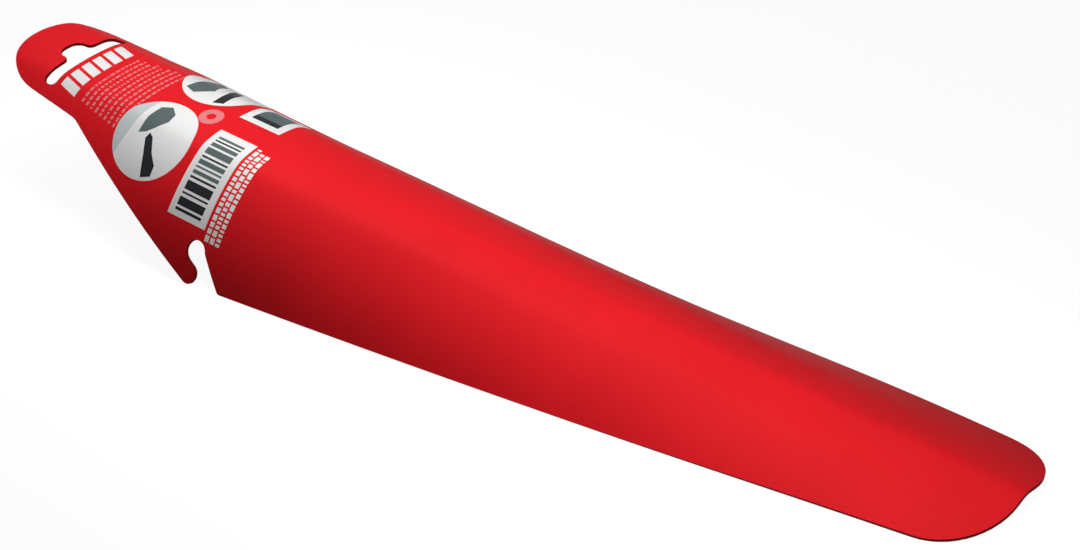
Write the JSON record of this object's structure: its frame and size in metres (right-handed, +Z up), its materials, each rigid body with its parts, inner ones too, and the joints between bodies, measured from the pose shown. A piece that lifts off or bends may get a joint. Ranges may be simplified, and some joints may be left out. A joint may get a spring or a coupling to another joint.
{
  "type": "clip-on saddle mudguard",
  "caption": "Thin arched plastic mudguard for the rear of a bicycle: a tongue with a hang slot goes under the saddle and hooked notches snap over the rails.",
  "frame": {"origin": "middle of the sheet's box, on the surface that its long edges lie on", "axes": "+X along the sheet from the tongue to the tail, +Y across it, +Z up through the arch"},
  "size_m": [0.3582, 0.0746, 0.0425],
  "materials": {
    "red_polypropylene": "satin"
  },
  "bodies": {
    "root": {"mudguard_sheet": "red_polypropylene"}
  },
  "joints": []
}
